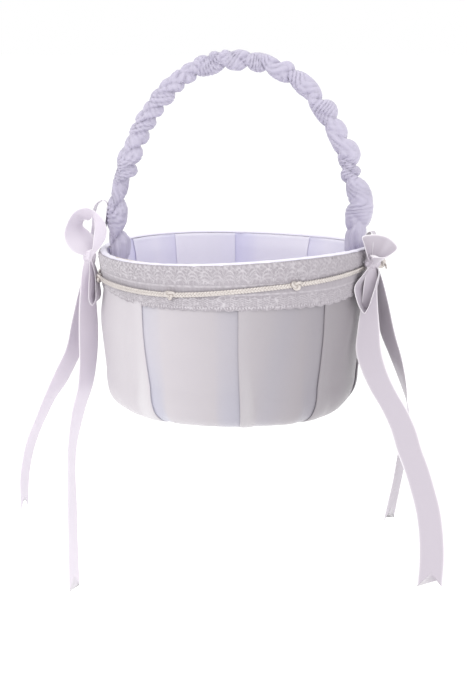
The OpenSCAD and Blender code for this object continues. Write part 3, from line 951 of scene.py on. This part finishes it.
def hoopPath(count):
    # middle line of the hoop from the left foot to the right foot, evenly spaced
    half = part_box("handle_hoop")[1].x - handle["rodR"]
    drop = handle["rise"] - handle["topR"]
    sideR = (half ** 2 + drop ** 2 - handle["topR"] ** 2) / (2 * (half - handle["topR"]))
    sideX = half - sideR
    sideZ = -handle["rise"]
    end = math.degrees(math.atan2(drop, -sideX))
    a = np.radians(np.linspace(-handle["legIn"], end, 60))
    side = np.stack([sideX + sideR * np.cos(a), sideZ + sideR * np.sin(a)], 1)
    b = np.radians(np.linspace(end, 90, 40)[1:])
    top = np.stack([handle["topR"] * np.cos(b), -handle["topR"] + handle["topR"] * np.sin(b)], 1)
    foot = rimTop - handle["legDown"]
    lean = math.tan(math.radians(handle["legIn"]))
    leg = np.array([[side[0, 0] - (side[0, 1] - foot) * lean, foot]])
    right = np.concatenate([leg, side, top])
    line = np.concatenate([right * [-1, 1], right[::-1][1:]])
    length = lengthAlong(line)
    s = np.linspace(0, length[-1], count)
    x = np.interp(s, length, line[:, 0])
    z = np.interp(s, length, line[:, 1])
    return np.stack([x, 0 * x, z], 1), length[-1]


def makeSleeve():
    length = hoopPath(10)[1]
    count = int(length / mm * handle["perMm"])
    path, length = hoopPath(count)
    t = np.linspace(0, 1, count)
    forward = unit(np.gradient(path, axis=0))
    out = np.stack([-forward[:, 2], 0 * t, forward[:, 0]], 1)
    s = t[:, None] * length / mm
    a = np.linspace(0, turn, handle["around"] + 1)[None, :-1]
    fromOuter = (a + math.pi) % turn - math.pi
    fromInner = a - math.pi
    wander = ripple(s / 1000, a * 0.006, 3, 0.03)
    slant = handle["skew"] + 0.5 * wander
    weight = 0.5 + 0.5 * np.cos(a)
    whole = length / mm
    # the scallops run straight over both edges and slant between them
    overOuter = fromOuter * np.abs(np.sin(fromOuter / 2)) * 1.5
    overInner = fromInner * np.abs(np.sin(fromInner / 2)) * 1.5
    r = weight * scallopReach(outerScallops, s + slant * overOuter, whole)
    r = r + (1 - weight) * scallopReach(innerScallops, s - slant * overInner, whole)
    # small creases that run round and slant across the gathers
    tight = 1 - 0.5 * ease((s - 200) / 40)
    fine = np.abs(np.sin(np.pi * (s / 3.3 + fromOuter * 0.8 + 1.5 * wander))) ** 0.7 - 0.6
    broad = np.abs(np.sin(np.pi * (s / 7.5 - fromInner * 0.9 + 2 * wander))) ** 0.6 - 0.6
    loose = ease((s - 58) / 14) * ease((350 - s) / 16)
    r = r + handle["creases"] * loose * (1.3 * tight * fine + 2.2 * broad) * (0.35 + np.abs(np.sin(a)))
    # gathers along the feet, where the sleeve is sewn to the lining
    feet = ease((66 - s) / 14) + ease((s - 340) / 14)
    gathers = np.cos(9 * a + s / 14 + 2 * wander)
    r = r + feet * gathers * (0.5 + 0.5 * np.cos(a + math.pi)) ** 0.5
    r = np.maximum(r, 2.8) * mm
    broadFeet = 1 + 0.35 * feet
    across = np.array([0, -1, 0])
    points = path[:, None] + (r * np.cos(a))[..., None] * out[:, None]
    points = points + (r * np.sin(a) * broadFeet)[..., None] * across
    flat = np.stack(np.broadcast_arrays(np.append(a, turn)[None, :] * 6 * mm, s * 2.2 * mm), -1)
    piece = outward(gridMesh("ruched_sleeve", points, flat, cap=True))
    dress(piece, finishes["sleeve"], "sleeve_satin", "handle_sleeve")


makeSleeve()
print("handle done")


# ribbon bows

ribbon = {
    "width": 16 * mm,
    "half": 0.16 * mm,       # half of the cloth's thickness
    "edge": 0.3 * mm,        # half of the woven edge's thickness
    "columns": 15,
    "loopRows": 90,
    "tailRows": 150,
    "notch": 9 * mm,         # depth of the swallowtails
}


def ribbonMesh(name, strip, count, length, notch=0.0, body="root"):
    # strip(t) gives the two edges of the ribbon; notch is how deep its swallowtail is cut
    across = np.linspace(-1, 1, ribbon["columns"])
    across = np.sign(across) * np.abs(across) ** 0.8
    t = np.linspace(0, 1, count)[:, None] * (1 - notch / length * (1 - np.abs(across)))[None, :]
    near, far = strip(t)
    grid = near + (far - near) * (across[None, :, None] + 1) / 2
    forward = unit(np.gradient(grid, axis=0))
    side = unit(far - near)
    normal = unit(np.cross(side, forward))
    border = np.clip((np.abs(across) - 0.88) / 0.04, 0, 1)
    thick = (ribbon["half"] + (ribbon["edge"] - ribbon["half"]) * border)[None, :, None]
    thick = thick * (1 - 0.75 * (np.abs(across) == 1))[None, :, None]
    points = np.concatenate([grid + normal * thick, (grid - normal * thick)[:, ::-1]], 1)
    u = across * ribbon["width"] / 2
    flat = np.concatenate([np.broadcast_to(u, t.shape), np.broadcast_to(u[::-1], t.shape)], 1)
    along = np.concatenate([t, t[:, ::-1]], 1) * length
    piece = gridMesh(name, points, np.stack([flat, along], -1), cap=True, body=body)
    # marks the woven edge, which the ribbon finish paints with a highlight
    paint(piece, "edge", np.broadcast_to(np.concatenate([border, border[::-1]]), flat.shape))
    return outward(piece)


def railLoop(name, knot, near, far):
    # a loop of ribbon between two edge lines, given in mm from the knot
    nearLine = np.array(near) * mm + np.array(knot)
    farLine = np.array(far) * mm + np.array(knot)
    length = lengthAlong((nearLine + farLine) / 2)[-1]

    def strip(t):
        return spline(nearLine, t), spline(farLine, t)

    return ribbonMesh(name, strip, ribbon["loopRows"], length)


loops = {
    "left_upper_loop": (
        [(0, -2.5, 0.8), (-6.5, -5.5, 2.4), (-12.2, -7.5, 6), (-15.4, -8, 12.5), (-13, -8.5, 23),
         (-7.6, -8.5, 30.4), (-0.8, -8.5, 32), (6, -8, 28.4), (11, -7.5, 21), (11, -6.5, 14),
         (6.8, -4.5, 6.4), (2, -2.5, 1)],
        [(0.5, 1, 1), (2.4, 2.5, 7), (2.6, 4, 12), (-0.4, 5.5, 15.4), (-4.6, 6.5, 19.8),
         (-4, 6, 22), (-0.4, 1.5, 23), (3, -5, 25.4), (3.8, -6.8, 20), (3, -6.2, 13),
         (2.2, -4.6, 6.6), (0.4, -1, 0.5)],
    ),
    "left_back_loop": (
        [(0.5, 3, 1), (0, 7, 10), (1, 9, 20), (1.5, 9, 28), (3.5, 9, 32.6), (8, 9, 35),
         (10.5, 8.5, 33), (10.2, 7.5, 26), (8.5, 6, 17), (5, 4.5, 8), (1.2, 2.5, 1)],
        [(1.5, 5, 1), (2.6, 12, 10), (2.8, 20, 20), (3.2, 23, 28), (5, 23, 31.6), (8.6, 23, 33.6),
         (10.8, 21, 31.6), (11, 18, 25), (9.5, 13, 16), (6.5, 8, 8), (2.4, 4, 1)],
    ),
    "left_lower_loop": (
        [(0, -2.5, -1.5), (0.2, -6, -7), (0, -9, -13), (-0.2, -10.5, -20), (0.2, -10.5, -27),
         (1.8, -10.5, -29.4), (3.6, -10, -26.5), (4.2, -9.5, -19), (3.8, -7.5, -12), (2.4, -5, -5),
         (1, -1.5, -1)],
        [(0.8, 0, -1.5), (3.2, 0.5, -7), (4.6, 1.5, -13), (5, 3, -20), (5.2, 3.5, -25),
         (5.9, 3.5, -26.8), (6.6, 3, -24.8), (6.2, 2, -18), (5.2, 1.5, -11), (3.4, 0.8, -5),
         (1.5, 0, -1)],
    ),
    "right_upper_loop": (
        [(-1.5, -2.5, 1), (-4.2, -8, 7.4), (-5.6, -5.5, 12.4), (-6.4, 0, 16.2), (-2, 3.5, 17),
         (4, 5, 16.8), (9.5, 4.5, 15.4), (13, 2, 13), (15.2, -2.5, 9.9), (11.4, -7.5, 6.6),
         (6, -10.5, 4.6), (0, -11.5, 5.0), (-1.4, -6.5, 2.6), (0, -2.5, 0.4)],
        [(-1.5, -1, 0), (-3.2, -2.5, 0.8), (-3.4, -1, 2.2), (-2.8, 1, 3), (-1, 2.4, 3), (1, 2.8, 3),
         (3, 2.6, 2.6), (4.6, 1.4, 2), (4.8, -0.6, 1.2), (3.8, -2.4, 0.4), (2, -3.2, -0.4),
         (0, -3.4, -0.8), (-0.4, -2.4, -0.6), (0, -1, -0.8)],
    ),
    "right_back_loop": (
        [(-1, 1.5, 1), (-3.4, 3.5, 7), (-4.6, 4.5, 13), (-3.6, 5, 17.6), (-1.6, 5, 18.8),
         (0.4, 4.5, 16.5), (0.4, 3.5, 11), (0, 2.5, 6), (0, 1, 1)],
        [(0, 2.5, 1), (0.5, 9, 8), (0.4, 14, 13), (0.4, 16, 17), (1.6, 16, 18), (3.4, 14, 15.5),
         (3.6, 10.5, 11), (3, 6.5, 6), (1, 2.5, 1)],
    ),
    "right_lower_loop": (
        [(-1.5, -2.5, -1.5), (-6.5, -6, -7), (-11.5, -8, -14.5), (-10.4, -8.5, -21),
         (-7.4, -8.5, -28), (-5.4, -8.2, -30.4), (-3.2, -7.6, -27.5), (-0.5, -6.5, -20),
         (2, -5, -12), (3.6, -3, -4.5), (1.5, -2, -0.5)],
        [(0, -0.5, -1.5), (-2.6, 0.4, -8), (-4.4, 3, -13), (-4, 5.5, -19.5), (-3, 6.5, -26),
         (-1.4, 6.8, -28), (0.4, 6.5, -25), (2.6, 5.5, -18.5), (4.2, 3.5, -12), (4.2, 1, -5),
         (1.5, -0.5, -1)],
    ),
}


# middle line of each streamer in mm from its knot, the turn of its width away from X in
# degrees, and its width in mm
streamers = {
    "left_front": [
        (-0.5, -3, -2, 20, 6), (-1.0, -3.5, -8, 26, 8), (-1.4, -2, -18, 40, 11), (-1.6, 1.5, -32, 46, 15),
        (-1.6, 4, -50, 44, 16), (-2.2, 5, -68, 50, 16), (-4.2, 5, -84, 56, 16), (-8, 5, -97, 60, 16),
        (-10.8, 5, -110, 66, 16), (-12.8, 5, -122, 72, 16), (-13.6, 5, -136, 76, 16),
        (-13.6, 5, -162, 73, 16), (-13.4, 5, -188, 72, 16), (-13, 5, -218, 70, 16)],
    "left_back": [
        (-1, 2, -4, 50, 6), (-2.5, 8, -14, 50, 9), (-5, 15, -28, 50, 13), (-8, 20, -44, 50, 16),
        (-12, 22, -62, 48, 16), (-18, 22, -75, 46, 16), (-24, 22, -87, 50, 16), (-28.5, 22, -95, 60, 16),
        (-34.5, 22, -108, 66, 16), (-40, 22, -121, 68, 16), (-43.6, 22, -134, 71, 16),
        (-45.6, 22, -146, 73, 16), (-46.2, 22, -158, 76, 16), (-46.2, 22, -169, 79, 16)],
    "right_front": [
        (-0.5, -2, -2, 20, 6), (-1, -1, -10, 14, 8), (-1.5, 0, -24, 9, 10), (-2, -1, -42, 4, 14),
        (-2, -3, -54, 2, 16), (1.5, -4, -67, 0, 16), (7, -4, -79, -4, 16), (14.5, -4, -92, -4, 16),
        (20, -4, -104, 0, 16), (24, -4, -117, 0, 16), (28.5, -4, -129, 4, 16), (32.5, -4, -142, 6, 16),
        (36, -4, -155, 6, 16), (38.5, -4, -172, 4, 16), (39.2, -4, -188, -6, 16),
        (38.2, -4, -206, -10, 16)],
    "right_back": [
        (1, 3, -2, -40, 6), (4, 8, -12, -50, 9), (7, 12, -26, -56, 13), (11.5, 14, -48, -58, 16),
        (16, 14, -61, -64, 16), (19, 14, -71, -72, 16), (22.5, 14, -85, -86, 16), (24, 14, -94, -98, 16),
        (23.5, 14, -104, -110, 16), (21.5, 14, -120, -116, 16), (18.6, 14, -139, -117, 16),
        (16, 14, -152, -118, 16), (13, 14, -167, -120, 16)],
}


def makeLoops():
    for name, (near, far) in loops.items():
        knot = knotAt[name.split("_")[0]]
        piece = railLoop(name.replace("loop", "ribbon_loop"), knot, near, far)
        dress(piece, finishes["ribbon"], "ribbon", name)


def makeStreamer(name, rows):
    knot = np.array(knotAt[name.split("_")[0]])
    line = np.array(rows, float)
    length = lengthAlong(line[:, :3])[-1] * mm

    def strip(t):
        p = spline(line, t)
        a = np.radians(p[..., 3:4])
        side = np.concatenate([np.cos(a), np.sin(a), 0 * a], -1) * p[..., 4:5] / 2
        return knot + (p[..., :3] - side) * mm, knot + (p[..., :3] + side) * mm

    body = name + "_streamer"
    piece = ribbonMesh(name + "_ribbon_tail", strip, ribbon["tailRows"], length, ribbon["notch"], body)
    dress(piece, finishes["ribbon"], "ribbon", name + "_tail")


knotWrap = {
    "left": {"size": (4.0, 3.4, 4.6), "lean": 10},
    "right": {"size": (4.6, 3.8, 4.4), "lean": -14},
}


def makeKnot(side):
    # the ribbon's wrap round the middle of a bow: a band with soft lengthwise creases
    shape = knotWrap[side]
    around = np.linspace(0, turn, 49)[:-1][None, :]
    up = np.linspace(-1, 1, 25)[:, None]
    crease = 0.08 * np.cos(5 * around + 3 * up) + 0.06 * np.cos(9 * around - 2 * up + 1)
    waist = np.sqrt(np.clip(1 - 0.72 * up ** 2, 0, 1)) * (1 + crease)
    wide, deep, tall = (k * mm for k in shape["size"])
    x = wide * waist * np.sin(around) + wide * 0.12 * np.sin(3 * up)
    y = -deep * waist * np.cos(around)
    z = tall * up * (1 - 0.12 * np.cos(around)) + 0 * around
    a = math.radians(shape["lean"])
    points = np.stack([x * math.cos(a) - z * math.sin(a), y, x * math.sin(a) + z * math.cos(a)], -1)
    points = points + np.array(knotAt[side])
    flat = np.stack(np.broadcast_arrays(np.append(around, turn)[None, :] * 5 * mm, up * tall), -1)
    piece = outward(gridMesh(side + "_bow_knot", points, flat, cap=True))
    # the band's edges are marked for the ribbon finish's painted highlight
    paint(piece, "edge", np.broadcast_to(np.clip((np.abs(up) - 0.9) * 20, 0, 1), points.shape[:2]))
    smooth = piece.modifiers.new("soft", "SUBSURF")
    smooth.levels = smooth.render_levels = 1
    dress(piece, finishes["ribbon"], "ribbon", side + "_knot")


makeLoops()
makeKnot("left")
makeKnot("right")
for name, rows in streamers.items():
    makeStreamer(name, rows)
print("bows done")


# base and floor

base = {
    "stitches": 150,
    "hemIn": 4 * mm,         # stitching line, in from the disc's edge
}

pad = {
    "crown": 2.2 * mm,       # how much the floor pad rises in its middle
    "seamIn": 2.4 * mm,      # distance of its seam from the edge
    "steps": 16,
    "pressure": 3.0,
    "cap": 1.2 * mm,         # the most that a point of the pad may move
}


def lathe(name, profile, columns, wobble=0.0):
    # a closed body from a half outline of (radius, height) points, top middle to bottom middle
    profile = np.array(profile)
    angle = np.linspace(0, turn, columns + 1)[:-1][None, :]
    x, y = angleOf(np.degrees(angle))
    r = profile[:, :1] * (1 + 0 * angle)
    z = profile[:, 1:] + wobble * ripple(r * x, r * y, 31, 0.03) * ease(r / (10 * mm))
    points = np.stack([r * x, r * y, z], -1)
    around = np.arange(columns + 1) / columns * turn * coverR
    flat = np.stack(np.meshgrid(around, lengthAlong(profile)), -1)
    return outward(gridMesh(name, points, flat, cap=True))


def makeBase():
    # the satin-covered disc that closes the underside, with a turned and stitched hem
    low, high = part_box("base_satin")
    r = np.linspace(0.6 * mm, discR - 1.2 * mm, 24)
    seamR = discR - base["hemIn"]
    hem = 0.18 * mm * np.exp(-((r - seamR) / (0.6 * mm)) ** 2)
    top = np.stack([r, high.z + 0 * r], 1)
    a = np.radians(np.linspace(75, -75, 7))
    half = (high.z - low.z) / 2
    edge = np.stack([discR - half + half * np.cos(a), low.z + half + half * np.sin(a)], 1)
    bottom = np.stack([r[::-1], low.z + hem[::-1]], 1)
    disc = lathe("base_disc", np.concatenate([top, edge, bottom]), 160, 0.05 * mm)
    stitches = []
    dip = np.array([0.1, -0.1, -0.15, -0.1, 0.1]) * mm
    for k in range(base["stitches"]):
        a = turn * k / base["stitches"] + np.linspace(-0.011, 0.011, 5)
        path = aroundAxis(seamR, np.degrees(a), low.z + 0.1 * mm + dip)
        stitches.append(tube("stitch", path, np.tile([0, 0, 1.0], (5, 1)), 0.16 * mm, 0.12 * mm, 6))
    dress(disc, finishes["cover"], "cover_satin", "base_satin")
    dress(joined("base_stitches", stitches), finishes["thread"], "thread")


def makeWadding():
    low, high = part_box("floor_wadding")
    r = np.linspace(0.6 * mm, high.x - 1.5 * mm, 20)
    top = np.stack([r, high.z + 0 * r], 1)
    side = [(high.x - 0.3 * mm, high.z - 0.5 * mm), (high.x - 0.1 * mm, (low.z + high.z) / 2),
            (high.x - 0.4 * mm, low.z + 0.4 * mm)]
    bottom = np.stack([r[::-1], low.z + 0 * r], 1)
    piece = lathe("wadding_disc", np.concatenate([top, side, bottom]), 96, 0.12 * mm)
    dress(piece, finishes["wadding"], "wadding", "floor_wadding")


def makePad():
    # the satin floor pad: a flat pillow blown up a little as cloth, held round its edge
    low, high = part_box("floor_satin")
    edge = high.x - 0.4 * mm
    r = np.linspace(0.8 * mm, edge - 1.0 * mm, 34)
    crown = pad["crown"] * (1 - (r / edge) ** 4)
    top = np.stack([r, high.z + 0.1 * mm + crown * 0.6], 1)
    a = np.radians(np.linspace(60, -60, 5))
    rounding = 0.4 * mm
    side = [edge - rounding + rounding * np.cos(a), high.z - 0.3 * mm + rounding * np.sin(a)]
    side = np.stack(side, 1)
    bottom = np.stack([r[::-1], low.z + 0.1 * mm + 0 * r], 1)
    piece = lathe("floor_pad", np.concatenate([top, side, bottom]), 120, 0.1 * mm)
    mesh = piece.data
    before = np.array([v.co for v in mesh.vertices])
    held = piece.vertex_groups.new(name="held")
    fixed = [v.index for v in mesh.vertices if v.co.z < high.z or v.co.xy.length > edge - pad["seamIn"]]
    held.add(fixed, 1.0, "REPLACE")
    blown = piece.modifiers.new("blown", "CLOTH")
    blown.settings.vertex_group_mass = "held"
    blown.settings.quality = 6
    blown.settings.use_pressure = True
    blown.settings.uniform_pressure_force = pad["pressure"]
    blown.settings.effector_weights.gravity = 0
    blown.point_cache.frame_end = pad["steps"]
    for step in range(1, pad["steps"] + 1):
        bpy.context.scene.frame_set(step)
    result = piece.evaluated_get(bpy.context.evaluated_depsgraph_get())
    after = np.array([v.co for v in result.data.vertices])
    piece.modifiers.remove(blown)
    move = after - before
    far = np.linalg.norm(move, axis=1, keepdims=True)
    move = move * np.minimum(1, pad["cap"] / np.maximum(far, 1e-9))
    mesh.vertices.foreach_set("co", (before + move).ravel())
    bpy.context.scene.frame_set(1)
    dress(piece, finishes["floor"], "lining_satin", "floor_satin")


makeBase()
makeWadding()
makePad()
print("base and floor done")
